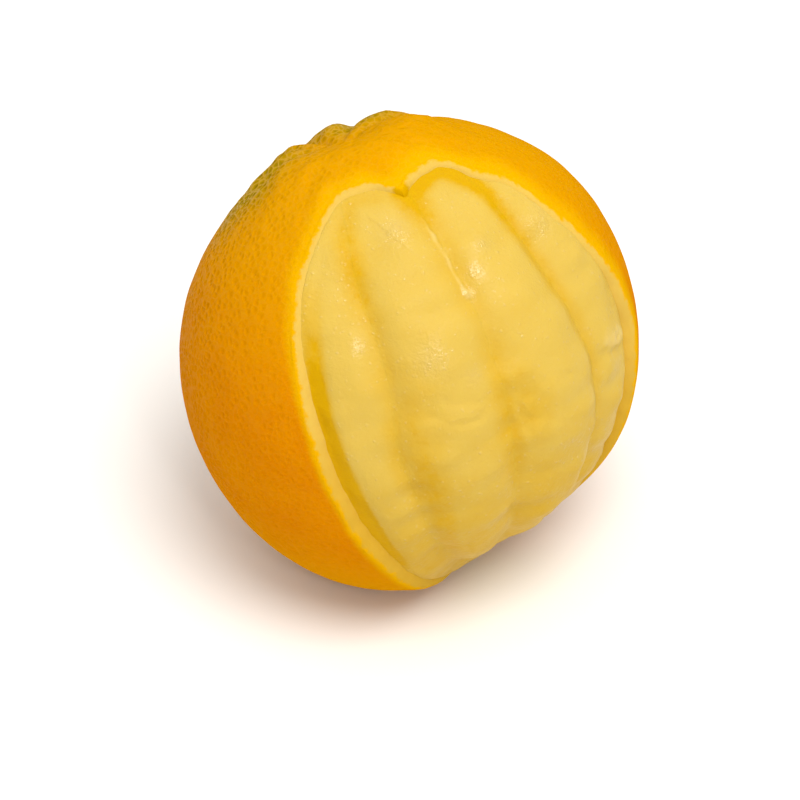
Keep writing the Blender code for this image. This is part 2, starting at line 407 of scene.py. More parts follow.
def flesh_depth(places):
    """Depth of the flesh under the skin, in mm."""
    longitude, latitude = degrees_of(places)
    level, risen = window_level(places)
    depth = FLESH_DEPTH + (level - FLESH_DEPTH) * risen
    depth += (1 - risen) * STEM_END_DROP * smooth_step(STEM_END_START, 90, latitude)
    depth += (1 - risen) * BLOSSOM_END_DROP * smooth_step(BLOSSOM_END_START, 90, -latitude)
    for line, (corners, deep, width, softness, strengths) in zip(GROOVE_LINES, GROOVES):
        distance, share = distance_from(places, line)
        depth += strength_along(share, strengths) * groove(distance, deep, width, softness)
    for line in HIDDEN_LINES:
        distance, share = distance_from(places, line)
        depth += (1 - risen) * strength_along(share, HIDDEN_STRENGTHS) * groove(distance, *HIDDEN_VALLEY)
    distance, share = distance_from(places, MOAT_LINE)
    depth += MOAT_DEPTH * strength_along(share, MOAT_STRENGTHS) * smooth_step(*MOAT_EDGE, distance)
    return depth


print("valleys at", [round(edge % 360, 1) for edge in segment_edges()[:-1]])

# %% [markdown]
# ## Helpers for modelling
# Everything in edit mode works on what is selected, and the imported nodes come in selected. So each
# step first clears the selection. Vertices are read and placed as one table of numbers, which is much
# quicker than one by one.

# %% Select, read and place vertices


def deselect_all():
    if bpy.context.mode != "OBJECT":
        bpy.ops.object.mode_set(mode="OBJECT")
    bpy.ops.object.select_all(action="DESELECT")


def work_on(piece):
    deselect_all()
    piece.select_set(True)
    bpy.context.view_layer.objects.active = piece


def corners_of(piece):
    table = np.empty(len(piece.data.vertices) * 3)
    piece.data.vertices.foreach_get("co", table)
    return table.reshape(-1, 3)


def place_corners(piece, table):
    piece.data.vertices.foreach_set("co", np.ascontiguousarray(table).ravel())
    piece.data.update()


def choose_corners(piece, chosen):
    """Selects these vertices, in object mode, ready for edit mode."""
    piece.data.polygons.foreach_set("select", np.zeros(len(piece.data.polygons), bool))
    piece.data.edges.foreach_set("select", np.zeros(len(piece.data.edges), bool))
    piece.data.vertices.foreach_set("select", chosen)
    piece.data.update()


def edit(piece):
    work_on(piece)
    bpy.ops.object.mode_set(mode="EDIT")
    bpy.ops.mesh.select_mode(type="VERT")


def leave_edit():
    bpy.ops.object.mode_set(mode="OBJECT")


def note(piece, name, values):
    """Writes one number for each vertex, for the finish to read."""
    attribute = piece.data.attributes.new(name, "FLOAT", "POINT")
    attribute.data.foreach_set("value", np.asarray(values, np.float32))


def triangles(piece):
    piece.data.calc_loop_triangles()
    return len(piece.data.loop_triangles)


# %% [markdown]
# ## The peel
# A peel with a hole is a ball with its cap off and its rim rolled inwards. A ball is added with its
# pole at the window's middle, so that its rings run round the window. The cap is deleted, each ring is
# moved to its place on the body, and the open edge is extruded ring by ring: over the rounded
# shoulder, down the cut face to the flesh, and back inside as the peel's inner wall.

# %% Add the ball and take its cap off
PEEL_MERIDIANS = 90
PEEL_RINGS = 48
CAP_RINGS = 5
CUTS = 3
RIM_CORNERS = PEEL_MERIDIANS * (CUTS + 1)
SHOULDER_WIDTH = 0.9
SKIN_INSET = 0.15 * MM
# The skin's fine relief in mm: gentle waves all over, and knobs and pebbles on the crown
WAVE_HEIGHT = 0.08
WAVE_PITCH = 3.0
KNOB_HEIGHT = 0.32
KNOB_PITCH = 2.4
KNOB_SINK = 0.8
KNOB_REACH = 1.6 * CROWN_REACH
PEBBLE_HEIGHT = 0.16
PEBBLE_PITCH = 1.3

deselect_all()
bpy.ops.mesh.primitive_uv_sphere_add(segments=PEEL_MERIDIANS, ring_count=PEEL_RINGS, radius=1.0)
peel = bpy.context.active_object
peel.name = "rind"
ball = corners_of(peel)
cap_height = cos(pi * (CAP_RINGS - 0.5) / PEEL_RINGS)
choose_corners(peel, ball[:, 2] > cap_height)
edit(peel)
bpy.ops.mesh.delete(type="VERT")
bpy.ops.mesh.select_all(action="SELECT")
bpy.ops.mesh.subdivide(number_cuts=CUTS)
leave_edit()


def skin_radius(places):
    """Distance from the fruit's centre to the fine skin, with its crown, knobs and gentle waves."""
    longitude, latitude = degrees_of(places)
    on_crown = bell(90 - latitude - CROWN_ANGLE, KNOB_REACH)
    waves = WAVE_HEIGHT * skin_noise(places, WAVE_PITCH)
    knobs = KNOB_HEIGHT * on_crown * (skin_noise(places, KNOB_PITCH) - KNOB_SINK)
    pebbles = PEBBLE_HEIGHT * on_crown * skin_noise(places, PEBBLE_PITCH)
    return body_radius(places) + crown_relief(places) - SKIN_INSET + (waves + knobs + pebbles) * MM


ball = corners_of(peel)
turn = np.arctan2(ball[:, 1], ball[:, 0]) % (2 * pi)
cap_angle = pi * CAP_RINGS / PEEL_RINGS
along = (np.arccos(np.clip(ball[:, 2], -1, 1)) - cap_angle) / (pi - cap_angle)
edge = wobbly_rim_angle(turn) + SHOULDER_WIDTH * MM / BODY_RADIUS
skin_places = from_window(turn, edge + (pi - edge) * along)
place_corners(peel, to_world(skin_places * skin_radius(skin_places)[:, None]))
print("skin:", len(skin_places), "corners")

# %% [markdown]
# The rim's profile is a part of an ellipse: it leaves the skin level, rolls over the shoulder, and
# slopes down into the flesh. The rind proper is a thin coloured layer, so a little way down the shoulder
# the pale pith begins, and the finish later puts the edge of the colour there.

# %% Roll the rim over and build the inner wall
PEEL_THICKNESS = 2.1
# The cut face: how far it reaches inwards in mm, the part of the ellipse, and how far it sinks in the flesh
FACE_RINGS = 20
FACE_LEAN = 0.8
FACE_SWING = radians(60)
FLESH_TOUCH = 0.25
PITH_CRUMB = 0.11
PITH_CRUMB_PITCH = 1.3
# The inner wall starts this far, in mm, outwards under the rim
UNDERCUT_WIDTH = 1.2
INNER_RINGS = 14
MERGE_DISTANCE = 1e-7

deselect_all()
bpy.ops.mesh.primitive_circle_add(vertices=PEEL_MERIDIANS, radius=1.0)
rim = bpy.context.active_object
edit(rim)
bpy.ops.mesh.select_all(action="SELECT")
bpy.ops.mesh.subdivide(number_cuts=CUTS)
leave_edit()
rim_turn = np.arctan2(*corners_of(rim)[:, 1::-1].T) % (2 * pi)
rim_edge = wobbly_rim_angle(rim_turn)
foot_angle = rim_edge - FACE_LEAN * MM / BODY_RADIUS
foot_depth = flesh_depth(from_window(rim_turn, foot_angle)) + FLESH_TOUCH


def ring_on_peel(angle, depth, crumbs=0.0):
    """One ring of corners, at an angle from the window's middle and a depth in mm under the skin."""
    places = from_window(rim_turn, angle)
    smooth_radius = body_radius(places) + crown_relief(places) - SKIN_INSET
    depth = depth - crumbs * soft_noise(places * (BODY_RADIUS / MM - depth)[:, None], PITH_CRUMB_PITCH)
    return to_world(places * (smooth_radius - depth * MM)[:, None])


def face_ring(share):
    swing = share * FACE_SWING
    inwards = sin(swing) / sin(FACE_SWING)
    down = (1 - cos(swing)) / (1 - cos(FACE_SWING))
    angle = rim_edge + (SHOULDER_WIDTH - (SHOULDER_WIDTH + FACE_LEAN) * inwards) * MM / BODY_RADIUS
    return ring_on_peel(angle, foot_depth * down, PITH_CRUMB * inwards**2)


def inner_ring(share):
    start = rim_edge + UNDERCUT_WIDTH * MM / BODY_RADIUS
    return ring_on_peel(start + (pi - start) * share, np.full(RIM_CORNERS, PEEL_THICKNESS))


def extrude_ring(ring):
    """Pulls the selected edge of the rim into a new ring, and puts its corners in place."""
    edit(rim)
    bpy.ops.mesh.extrude_region_move()
    leave_edit()
    table = corners_of(rim)
    table[-RIM_CORNERS:] = ring
    place_corners(rim, table)


first_places = from_window(rim_turn, rim_edge + SHOULDER_WIDTH * MM / BODY_RADIUS)
place_corners(rim, to_world(first_places * skin_radius(first_places)[:, None]))
for ring in range(1, FACE_RINGS + 1):
    extrude_ring(face_ring(ring / FACE_RINGS))
for ring in range(INNER_RINGS):
    extrude_ring(inner_ring(ring / INNER_RINGS))
edit(rim)
bpy.ops.mesh.edge_face_add()
leave_edit()
print("rim and inner wall:", triangles(rim), "triangles")

# %% Join the rim to the skin
work_on(peel)
rim.select_set(True)
bpy.ops.object.join()
edit(peel)
bpy.ops.mesh.select_all(action="SELECT")
bpy.ops.mesh.remove_doubles(threshold=MERGE_DISTANCE)
bpy.ops.mesh.normals_make_consistent(inside=False)
bpy.ops.mesh.select_all(action="DESELECT")
bpy.ops.mesh.select_non_manifold()
leave_edit()
open_corners = np.empty(len(peel.data.vertices), bool)
peel.data.vertices.foreach_get("select", open_corners)
print("peel:", triangles(peel), "triangles,", open_corners.sum(), "corners on open edges")

# %% [markdown]
# A ripe fruit settles on a small flat spot. A bisect cuts it level at the floor and fills the cut.

# %% Cut the rest spot
edit(peel)
bpy.ops.mesh.select_all(action="SELECT")
bpy.ops.mesh.bisect(
    plane_co=(0, 0, 0), plane_no=(0, 0, 1), use_fill=True, clear_inner=True, threshold=MERGE_DISTANCE
)
leave_edit()
print("lowest corner of the peel at", corners_of(peel)[:, 2].min().round(6))

# %% [markdown]
# The finish needs to know five things about each point of the peel: how far it is from the edge of the
# rind, how far through the yellow band beside the cut, how much of the stem end's green is left, how
# rough the skin is, and where a lighter orange is painted as painted light, at the top and at the bottom.

# %% Note the zones of the peel
RIND_EDGE = 0.35
INNER_DEPTH = 1.2
# The yellow band's width in mm, by the turn round the window
YELLOW_WIDTHS = (
    (30, 4.0), (60, 5.5), (90, 5.0), (110, 3.6), (135, 2.6), (160, 1.5), (200, 1.3), (250, 1.6), (330, 1.5),
)
# Green spots as longitude, latitude and reach in degrees, and the middle and reach of the pitted side
GREEN_SPOTS = ((-150, 66, 18), (-115, 66, 18), (-88, 62, 12), (170, 72, 15), (150, 76, 8))
PITTED_MIDDLE = (-124, 32)
PITTED_REACH = 31
# Where the painted light, a lighter orange, starts and is full, as shares of the fruit's height, and its
# strength below
PAINTED_LIGHT_TOP = (0.55, 1.0)
PAINTED_LIGHT_BOTTOM = (0.4, 0.05)
PAINTED_LIGHT_BELOW = 0.9


def spots_share(places, spots):
    """The strongest of some round spots at each place, from 0 to 1."""
    return np.max([bell(degrees_apart(places, place(*spot[:2])), spot[2]) for spot in spots], axis=0)


def note_peel_zones():
    corners = to_fruit(corners_of(peel))
    radius = np.linalg.norm(corners, axis=1)
    places = unit(corners)
    turn, angle = turn_and_angle(places)
    outside = (angle - wobbly_rim_angle(turn)) * BODY_RADIUS / MM
    smooth_radius = body_radius(places) + crown_relief(places) - SKIN_INSET
    depth = (smooth_radius - radius) / MM
    edge_mm = np.where(depth < INNER_DEPTH, outside - RIND_EDGE, -depth)
    turns, widths = np.array(YELLOW_WIDTHS).T
    yellow_width = np.interp(np.degrees(turn), turns, widths, period=360)
    note(peel, "edge_mm", edge_mm)
    note(peel, "yellow_share", edge_mm / yellow_width)
    note(peel, "green_share", spots_share(places, GREEN_SPOTS))
    note(peel, "pitted_share", bell(degrees_apart(places, place(*PITTED_MIDDLE)), PITTED_REACH))
    # The painted light: a lighter orange towards the top and, a little less, towards the bottom, by height
    height_share = corners_of(peel)[:, 2] / (2 * BODY_RADIUS)
    below = PAINTED_LIGHT_BELOW * smooth_step(*PAINTED_LIGHT_BOTTOM, height_share)
    note(peel, "painted_light_share", smooth_step(*PAINTED_LIGHT_TOP, height_share) + below)
    return edge_mm


edges = note_peel_zones()
print("distance from the rind's edge:", edges.min().round(2), "to", edges.max().round(1), "mm")

# %% [markdown]
# ## The segments
# A segment is a wedge: a D-shaped outline swept round the fruit's axis from one valley to the next. So
# a circle is added, its inner half is flattened onto the core, and the outline is spun round the axis.
# The two open ends are filled as the segment's walls. Segments in view get many more steps.

# %% Spin one segment from a D-shaped outline
CORE_RADIUS = 2.0 * MM
CORE_HEIGHT = 0.9
TIP_LATITUDE = 89.4
OUTLINE_SIDES = 32
WALL_GAP = 0.15 * MM
# Cuts in each side of the outline and steps round the axis: finest for the segments in the window
FINE = (20, 72)
MEDIUM = (8, 36)
PLAIN = (4, 20)
DETAIL = {12: FINE, 1: FINE, 2: FINE, 3: FINE, 4: MEDIUM, 11: MEDIUM}


def spin_segment(number, left, right):
    """A closed wedge between two longitudes, with its back still a part of a plain ball."""
    cuts, steps = DETAIL.get(number, PLAIN)
    deselect_all()
    bpy.ops.mesh.primitive_circle_add(vertices=OUTLINE_SIDES, radius=BODY_RADIUS, rotation=(pi / 2, 0, 0))
    segment = bpy.context.active_object
    segment.name = f"flesh_{number:02d}"
    bpy.ops.object.transform_apply(location=False, rotation=True, scale=False)

    outline = corners_of(segment)
    at_back = outline[:, 0] > -MERGE_DISTANCE
    at_tip = at_back & (outline[:, 0] < MERGE_DISTANCE)
    outline[at_tip, 0] = BODY_RADIUS * cos(radians(TIP_LATITUDE))
    outline[~at_back, 0] = CORE_RADIUS
    outline[~at_back, 2] *= CORE_HEIGHT
    place_corners(segment, outline)

    choose_corners(segment, at_back)
    edit(segment)
    bpy.ops.mesh.subdivide(number_cuts=cuts)
    bpy.ops.mesh.select_all(action="SELECT")
    bpy.ops.transform.rotate(value=-radians(left), orient_axis="Z", center_override=(0, 0, 0))
    bpy.ops.mesh.spin(steps=steps, angle=radians(left - right), center=(0, 0, 0), axis=(0, 0, 1))
    bpy.ops.mesh.select_all(action="DESELECT")
    leave_edit()
    for edge_longitude in (left, right):
        fill_wall(segment, edge_longitude)
    edit(segment)
    bpy.ops.mesh.select_all(action="SELECT")
    bpy.ops.mesh.normals_make_consistent(inside=False)
    leave_edit()
    return segment


def fill_wall(segment, edge_longitude):
    """Closes the flat end of a spun outline at one longitude."""
    across = np.array((-sin(radians(edge_longitude)), cos(radians(edge_longitude)), 0))
    choose_corners(segment, np.abs(corners_of(segment) @ across) < MERGE_DISTANCE)
    edit(segment)
    bpy.ops.mesh.edge_face_add()
    leave_edit()


# %% [markdown]
# The backs of the segments take the shared surface. On top come what a peeled segment shows: pale pith
# threads along the valleys, a few shallow creases across, and a soft unevenness of the membrane.

# %% Move a segment's back to the flesh's surface
# Each thread or crease: its line, width in mm, and height in mm, which is negative for a crease
THREADS = (
    (((19.6, 48), (20.0, 42), (20.3, 36), (20.7, 30), (21.3, 23)), 0.32, 0.2),
    (((21.0, 25), (21.5, 23.5), (21.7, 22)), 0.4, 0.22),
    (((19.2, 10), (20.4, 5), (20.2, 0.5), (20.7, -4), (21.5, -9), (21.9, -15), (22.7, -20), (23.1, -26)),
     0.55, 0.12),
    (((52.5, 36), (52, 32), (51.6, 28), (52, 25)), 0.4, 0.07),
    (((3, 1.9), (4.7, 1.3), (6.7, -0.3), (10.1, -2.1), (13.2, -2.6), (15.6, -1.7), (17, 0)), 0.45, -0.15),
    (((-3, -1), (1.2, -2.3), (4.2, -4.4), (7.7, -5.8), (11.0, -6.3), (14.0, -5.3), (16.5, -3)), 0.5, -0.2),
    (((70, -12), (65, -10.5), (60, -9.4), (55.5, -8.6)), 0.6, -0.35),
    (((69, -8), (64.5, -6.8), (60, -5.9), (56, -5)), 1.1, 0.3),
    (((31, -3.6), (35.9, -4.8), (41, -7.1), (46, -10.4)), 0.7, -0.14),
    (((24.4, 0), (25.2, -7), (26.3, -13), (27.6, -20)), 2.2, -0.35),
)
THREAD_WANDER = 0.45
THREAD_WANDER_PITCH = 1.3
THREAD_LUMPS = 0.8
THREAD_ENDS = 0.02
THREAD_LINES = [smooth_line(line) for line, *rest in THREADS]
# The membrane's unevenness in mm, and how far in from the rim it starts and is full
SWELL_HEIGHT = 0.42
SWELL_PITCH = 4.5
WRINKLE_HEIGHT = 0.26
WRINKLE_PITCH = 2.6
WRINKLE_STRETCH = 0.4
RELIEF_START = 0.8
RELIEF_FULL = 2.6
BACK_SHARE = 0.93


def threads_at(places):
    """Height in mm of threads and creases, which come and go along their lines."""
    height = np.zeros(len(places))
    lumps = 1 + THREAD_LUMPS * skin_noise(places, THREAD_WANDER_PITCH)
    strays = [skin_noise(np.roll(places, turn, axis=1), THREAD_WANDER_PITCH) for turn in (0, 1, 2)]
    strayed = unit(places + THREAD_WANDER * MM / BODY_RADIUS * np.stack(strays, axis=1))
    for line, (corners, width, tall) in zip(THREAD_LINES, THREADS):
        distance, share = distance_from(strayed, line)
        fade = np.sin(pi * np.clip(share, THREAD_ENDS, 1 - THREAD_ENDS)) ** 0.5
        height += tall * lumps * fade * bell(distance, width)
    return height


def membrane_relief(places):
    """Height in mm of threads, creases, swells and wrinkles. Along its rim the peel keeps them flat."""
    swells = SWELL_HEIGHT * skin_noise(places, SWELL_PITCH)
    longitude, latitude = degrees_of(places)
    around = np.radians(longitude) * np.cos(np.radians(latitude)) * BODY_RADIUS / MM * WRINKLE_STRETCH
    up = np.radians(latitude) * BODY_RADIUS / MM
    wrinkles = soft_noise(np.stack((around, up, np.zeros(len(up))), axis=1), WRINKLE_PITCH)
    freed = smooth_step(RELIEF_START, RELIEF_FULL, inside_window(places)[0])
    return threads_at(places) + (swells + WRINKLE_HEIGHT * wrinkles) * freed


# The valleys that stray from their meridian, each from the latitude where it starts to run down
SEAMS = {0: VALLEY_LEFT[6:], 1: VALLEY_MIDDLE[1:], 2: VALLEY_RIGHT[6:]}


def seam_shift(valley, latitude):
    """How far a valley strays from its meridian at a latitude, in degrees."""
    if valley not in SEAMS:
        return np.zeros(len(latitude))
    longitudes, latitudes = np.array(SEAMS[valley][::-1], float).T
    return np.interp(latitude, latitudes, longitudes) - VISIBLE_VALLEYS[valley]


def follow_valleys(table, number, left, right):
    """Turns the corners of a segment round the axis, so that its two walls follow their valleys."""
    longitude, latitude = degrees_of(unit(table))
    share = ((longitude - left + 180) % 360 - 180) / (right - left)
    before = seam_shift(number - 1, latitude)
    after = seam_shift(number % SEGMENT_COUNT, latitude)
    swing = np.radians(before + (after - before) * share)
    x, y, z = table.T
    cosine, sine = np.cos(swing), np.sin(swing)
    return np.stack((x * cosine - y * sine, x * sine + y * cosine, z), axis=1)


def shape_segment(segment, number, left, right):
    """Moves the back out to the flesh, draws the walls a little inwards, and lays the segment in place."""
    table = follow_valleys(corners_of(segment), number, left, right)
    at_back = np.linalg.norm(table, axis=1) > BACK_SHARE * BODY_RADIUS
    places = unit(table[at_back])
    radius = body_radius(places) - (flesh_depth(places) - membrane_relief(places)) * MM
    table[at_back] = places * radius[:, None]
    middle = radians((left + right) / 2)
    inwards = np.array((cos(middle), sin(middle), 0))
    table[~at_back] += inwards * WALL_GAP / sin(radians(right - left) / 2)
    place_corners(segment, to_world(table))


segments = {}
valleys = segment_edges()
for number in range(1, SEGMENT_COUNT + 1):
    left, right = valleys[number - 1], valleys[number]
    segment = spin_segment(number, left, right)
    shape_segment(segment, number, left, right)
    segments[number] = segment
    print(segment.name, round(left, 1), "to", round(right, 1), "degrees,", triangles(segment), "triangles")

# %% [markdown]
# Along the valleys, in a hollow, round the notch and in the moat the flesh is a deep yellow, partly its
# own colour and partly painted shade. Where pith clings, it is pale. So each point of the flesh notes how
# near it is to the lines that hold the deep colour and the painted shade.

# %% Note the deep colour of the flesh
# Each line of deep colour and painted shade: the line, its width in mm, and its strength along the line
DEEP_AND_SHADE_LINES = (
    (VALLEY_LEFT, 1.5, (0.4, 0.5, 0.8, 0.5, 0.4, 0.5, 0.5, 0.45, 0.4, 0.3, 0.3)),
    (VALLEY_MIDDLE, 1.8, (1.1, 0.45, 0.35, 0.4, 0.55, 0.6, 0.5, 0.4, 0.35, 0.3, 0.3)),
    (VALLEY_RIGHT, 1.15, (1.2, 1.4, 0.85, 0.6, 0.5, 0.5, 0.45, 0.4, 0.35, 0.3, 0.3)),
    (VALLEY_RIM, 0.9, (1.2, 0.6, 0.45, 0.4, 0.3)),
    # Painted shade in the hollow beside the middle valley
    (((21.8, 6), (24.2, 0), (25.2, -7), (26.3, -13), (27.2, -20)), 2.3, (0.3, 0.45, 0.5, 0.5, 0.3)),
    # Painted shade on the flank beside the left valley, which is turned from the lamp
    (((-3.3, 14), (-4.3, 3), (-5.2, -10), (-5.6, -25), (-6.4, -38), (-7.6, -52)), 2.3,
     (0.2, 0.5, 0.65, 0.65, 0.6)),
    (((18.5, 55), (19.5, 52)), 1.2, (1.4, 1.2)),
)
MOAT_DEEP_AND_SHADE = (0.0, 0.3, 0.75, 1.1, 1.3, 1.3, 1.3, 1.3, 1.3, 1.1, 0.2)
MOAT_DEEP_AND_SHADE_EDGE = (2.4, 0.5)
# Painted shade: the flesh darkens towards the bottom, the blossom end, between these latitudes
LOWER_PAINTED_SHADE = 0.5
LOWER_PAINTED_SHADE_EDGE = (0, -50)
# The peel takes only a part of the deep colour and painted shade, but all of it round the notch in the
# window's upper edge
PEEL_DEEP_AND_SHADE = 0.35
NOTCH = (19, 54)
NOTCH_REACH = 3.0
# Places where juice has wetted the membrane, as longitude, latitude and reach in degrees
WET_SPOTS = (
    (4.7, 11.5, 3.0), (26.3, 28, 1.4), (32, 33, 1.4), (54, 29, 2.0), (59, 33, 2.0), (9, 46, 2.5),
    (21.1, 24, 1.2), (14, 4, 2.0), (-12, 20, 1.2),
)


def deep_colour_and_shade(places):
    distance, share = distance_from(places, MOAT_LINE)
    deep = strength_along(share, MOAT_DEEP_AND_SHADE) * smooth_step(*MOAT_DEEP_AND_SHADE_EDGE, distance)
    deep = np.maximum(deep, LOWER_PAINTED_SHADE * smooth_step(*LOWER_PAINTED_SHADE_EDGE, degrees_of(places)[1]))
    for corners, width, strengths in DEEP_AND_SHADE_LINES:
        distance, share = distance_from(places, smooth_line(corners))
        deep = np.maximum(deep, strength_along(share, strengths) * bell(distance, width))
    return deep


# Each piece notes its deep colour and painted shade
for piece in [peel, *segments.values()]:
    places = unit(to_fruit(corners_of(piece)))
    deep = deep_colour_and_shade(places)
    if piece is peel:
        deep *= PEEL_DEEP_AND_SHADE + (1 - PEEL_DEEP_AND_SHADE) * bell(degrees_apart(places, place(*NOTCH)), NOTCH_REACH)
    note(piece, "deep_and_shade_share", deep)
    if piece is not peel:
        note(piece, "thread_mm", np.maximum(threads_at(places), 0))
        wet = [bell(degrees_apart(places, place(*spot[:2])), spot[2]) for spot in WET_SPOTS]
        note(piece, "wet_share", sum(wet))

# %% [markdown]
# ## Finishes
# Colours are written as they look on a screen and turned to light by one function. One more function
# adds a node with its settings and links.

# %% Colours and nodes


def colour(code):
    """A screen colour such as #FFA000 as linear light."""
    channels = [int(code[start:start + 2], 16) / 255 for start in (1, 3, 5)]
    linear = [c / 12.92 if c <= 0.04045 else ((c + 0.055) / 1.055) ** 2.4 for c in channels]
    return (*linear, 1.0)


def set_inputs(node, inputs):
    """Gives each named input a value, or links it to another node's output."""
    for name, value in inputs.items():
        if isinstance(value, bpy.types.NodeSocket):
            node.id_data.links.new(value, node.inputs[name])
        else:
            node.inputs[name].default_value = value


def add_node(tree, kind, inputs, output=0, **settings):
    """Adds a shader node with its settings and links, and gives back one of its outputs."""
    node = tree.nodes.new("ShaderNode" + kind)
    for name, value in settings.items():
        setattr(node, name, value)
    set_inputs(node, inputs)
    return node.outputs[output]


def new_finish(name):
    """A new material, its shader, and the function above bound to its nodes."""
    finish = bpy.data.materials.new(name)
    finish.use_nodes = True
    return finish, finish.node_tree.nodes["Principled BSDF"], partial(add_node, finish.node_tree)


def per_metre(millimetres):
    """The scale that gives a pattern this pitch on coordinates in metres."""
    return 1 / (millimetres * MM)


# Settings that several nodes share, and the sockets of a colour mix, a bent place, a sum and a range
MIX = {"output": 2, "data_type": "RGBA"}
SHARE, FIRST, SECOND = 0, 6, 7
BEND = {"output": 1, "data_type": "VECTOR", "clamp_factor": False}
PLACE, STRAY = 4, 5
TIMES = {"operation": "MULTIPLY"}
TIMES_PLUS = {"operation": "MULTIPLY_ADD"}
PLUS = {"operation": "ADD"}
MINUS = {"operation": "SUBTRACT", "use_clamp": True}
AT_MOST = {"operation": "MINIMUM"}
IN, BY, THEN_ADD = 0, 1, 2
SMOOTH = {"interpolation_type": "SMOOTHSTEP"}
START, END, AT_START, AT_END = 1, 2, 3, 4
FADING = {AT_START: 1.0, AT_END: 0.0}

# %% [markdown]
# ### Rind and pith
# The rind is the coloured skin of the peel, waxy and set with oil glands about a millimetre apart. Each
# gland is a shallow pit. Where the skin is rough, the pits are darkened with painted shade, the ridges
# between them are paler with a painted highlight, and a clear coat on the ridges catches the light.
# Towards the cut the rind goes from orange to a clean yellow, and round the stem end it is still olive,
# darkest in the glands. A lighter orange is painted light at the top and the bottom. The cut face and
# the inside are pith, pale and matt, and painted lighter towards the top as painted light.

# %% Choose the rind's colours and scales
RIND_DARK_ORANGE = colour("#CA7600")
RIND_ORANGE = colour("#D08200")
RIND_PAINTED_LIGHT = colour("#CA8C00")
RIND_YELLOW = colour("#D59D00")
RIND_OLIVE = colour("#9E7C04")
RIND_PIT_SHADE = colour("#B36700")
RIND_DARK_OLIVE = colour("#7B6B0A")
RIND_NET_HIGHLIGHT = colour("#D0A040")

# The pitch of each pattern in mm
GLAND_PITCH = 1.1
GLAND_STRAY_PITCH = 1.6
PATCH_PITCH = 9.0
FRECKLE_PITCH = 1.1
RAGGED_PITCH = 1.2
GLAND_STRAY = 0.4 * MM

# Where each feature starts and ends on the pattern or share that it follows
YELLOW_FADE = {START: 0.35, END: 1.45, **FADING}
GREEN_RISE = {START: 0.2, END: 0.95}
GLAND_DOT = {START: 0.12, END: 0.42, **FADING}
NET_LINE = {START: 0.0, END: 0.16, **FADING}

# How much each pattern counts in a feature
PATCH_CONTRAST = 1.8
PATCH_OFFSET = -0.65
FRECKLE_CONTRAST = 0.5
YELLOW_PATCHES = 0.5
GREEN_PATCHES = 0.35
PIT_SHADE_ON_PITTED = 0.18
PIT_SHADE_ANYWHERE = 0.03
OLIVE_IN_GLANDS = 0.6
NET_ON_PITTED = 0.24
NET_ON_GREEN = 0.28
NET_ANYWHERE = 0.03

# %% Lay the rind's patterns
rind, shader, add = new_finish("mandarin_rind_and_pith")
noted = {
    name: add("Attribute", {}, "Fac", attribute_name=name)
    for name in ("edge_mm", "yellow_share", "green_share", "pitted_share", "painted_light_share", "deep_and_shade_share")
}
pitted = noted["pitted_share"]
spot = add("TexCoord", {}, "Object")
stray = add("TexNoise", {"Vector": spot, "Scale": per_metre(GLAND_STRAY_PITCH), "Detail": 1.0}, "Color")
bent_spot = add("Mix", {SHARE: GLAND_STRAY, PLACE: spot, STRAY: stray}, **BEND)
glands = {"Vector": bent_spot, "Scale": per_metre(GLAND_PITCH)}
gland_middle = add("TexVoronoi", glands, "Distance")
gland_border = add("TexVoronoi", glands, "Distance", feature="DISTANCE_TO_EDGE")
patches = add("TexNoise", {"Vector": spot, "Scale": per_metre(PATCH_PITCH), "Detail": 3.0})
freckles = add("TexNoise", {"Vector": spot, "Scale": per_metre(FRECKLE_PITCH), "Detail": 2.0})
ragged = add("TexNoise", {"Vector": spot, "Scale": per_metre(RAGGED_PITCH), "Detail": 3.0, "Roughness": 0.6})
print("rind: glands every", GLAND_PITCH, "mm")

# %% [markdown]
# The colour is painted in layers, each over the last: two oranges, a lighter orange painted as light at
# the top and the bottom, the yellow beside the cut, the green of the stem end, painted shade in the
# gland pits, dark olive glands, and the pale net between them as a painted highlight.

# %% Mix the colours of the rind
mottle = add("Math", {IN: patches, BY: PATCH_CONTRAST, THEN_ADD: PATCH_OFFSET}, **TIMES_PLUS)
mottle = add("Math", {IN: freckles, BY: FRECKLE_CONTRAST, THEN_ADD: mottle}, **TIMES_PLUS)

yellow = add("Math", {IN: patches, BY: YELLOW_PATCHES, THEN_ADD: noted["yellow_share"]}, **TIMES_PLUS)
yellow = add("MapRange", {"Value": yellow, **YELLOW_FADE}, **SMOOTH)

green = add("Math", {IN: patches, BY: GREEN_PATCHES}, **PLUS)
green = add("Math", {IN: noted["green_share"], BY: green}, **TIMES)
green = add("MapRange", {"Value": green, **GREEN_RISE}, **SMOOTH)

# The gland pits are darkened with painted shade, most on the pitted side
gland_dot = add("MapRange", {"Value": gland_middle, **GLAND_DOT}, **SMOOTH)
pit_shade = add("Math", {IN: pitted, BY: PIT_SHADE_ON_PITTED, THEN_ADD: PIT_SHADE_ANYWHERE}, **TIMES_PLUS)
pit_shade = add("Math", {IN: gland_dot, BY: pit_shade}, **TIMES)
olive = add("Math", {IN: green, BY: OLIVE_IN_GLANDS}, **TIMES)
olive = add("Math", {IN: gland_dot, BY: olive}, **TIMES)

# The pale net between the glands is a painted highlight, strongest on the pitted side and the green
net = add("MapRange", {"Value": gland_border, **NET_LINE}, **SMOOTH)
net_share = add("Math", {IN: pitted, BY: NET_ON_PITTED, THEN_ADD: NET_ANYWHERE}, **TIMES_PLUS)
net_share = add("Math", {IN: green, BY: NET_ON_GREEN, THEN_ADD: net_share}, **TIMES_PLUS)
ridge_highlights = add("Math", {IN: net, BY: net_share}, **TIMES)

